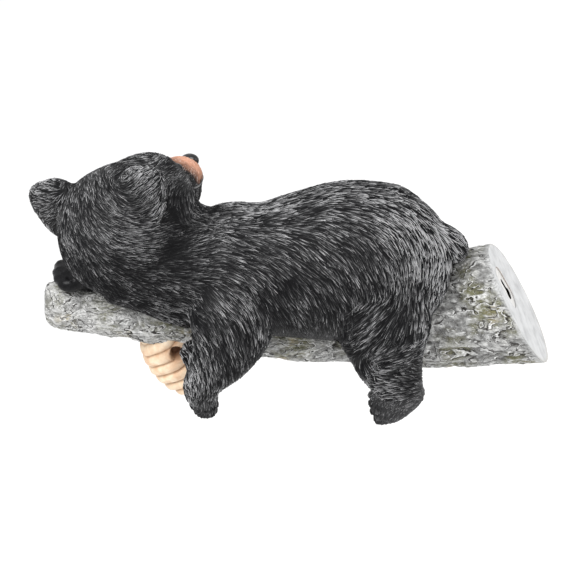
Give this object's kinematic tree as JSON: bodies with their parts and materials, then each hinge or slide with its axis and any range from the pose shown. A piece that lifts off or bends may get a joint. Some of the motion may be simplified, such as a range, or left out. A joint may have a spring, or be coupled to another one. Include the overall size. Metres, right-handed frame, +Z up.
{
  "type": "resin bear statue",
  "caption": "Painted resin bear cub lying along a rising tree branch with a beehive under it, made to hang on a wall or a trunk by a keyhole in the branch's flat end.",
  "frame": {"origin": "on the flat wall face of the branch's root, at its middle, below and beside the keyhole", "axes": "+X straight out from the wall, +Z up as it hangs, +Y to the cub's left, the side that its back and near limbs show"},
  "size_m": [0.3254, 0.1517, 0.3063],
  "materials": {
    "fur_paint": "charcoal black paint on cast resin, fur drybrushed in silver grey",
    "bark_paint": "light grey bark with white ridges, dark cracks and moss green washes",
    "hive_paint": "cream coils with brown between them",
    "muzzle_paint": "salmon tan, fading into the black fur",
    "nose_paint": "glossy black on nose, eyes and claws",
    "zinc": "zinc plated pressed steel"
  },
  "bodies": {
    "root": {"cub_on_branch": "fur_paint", "keyhole_hanger": "zinc"}
  },
  "joints": []
}
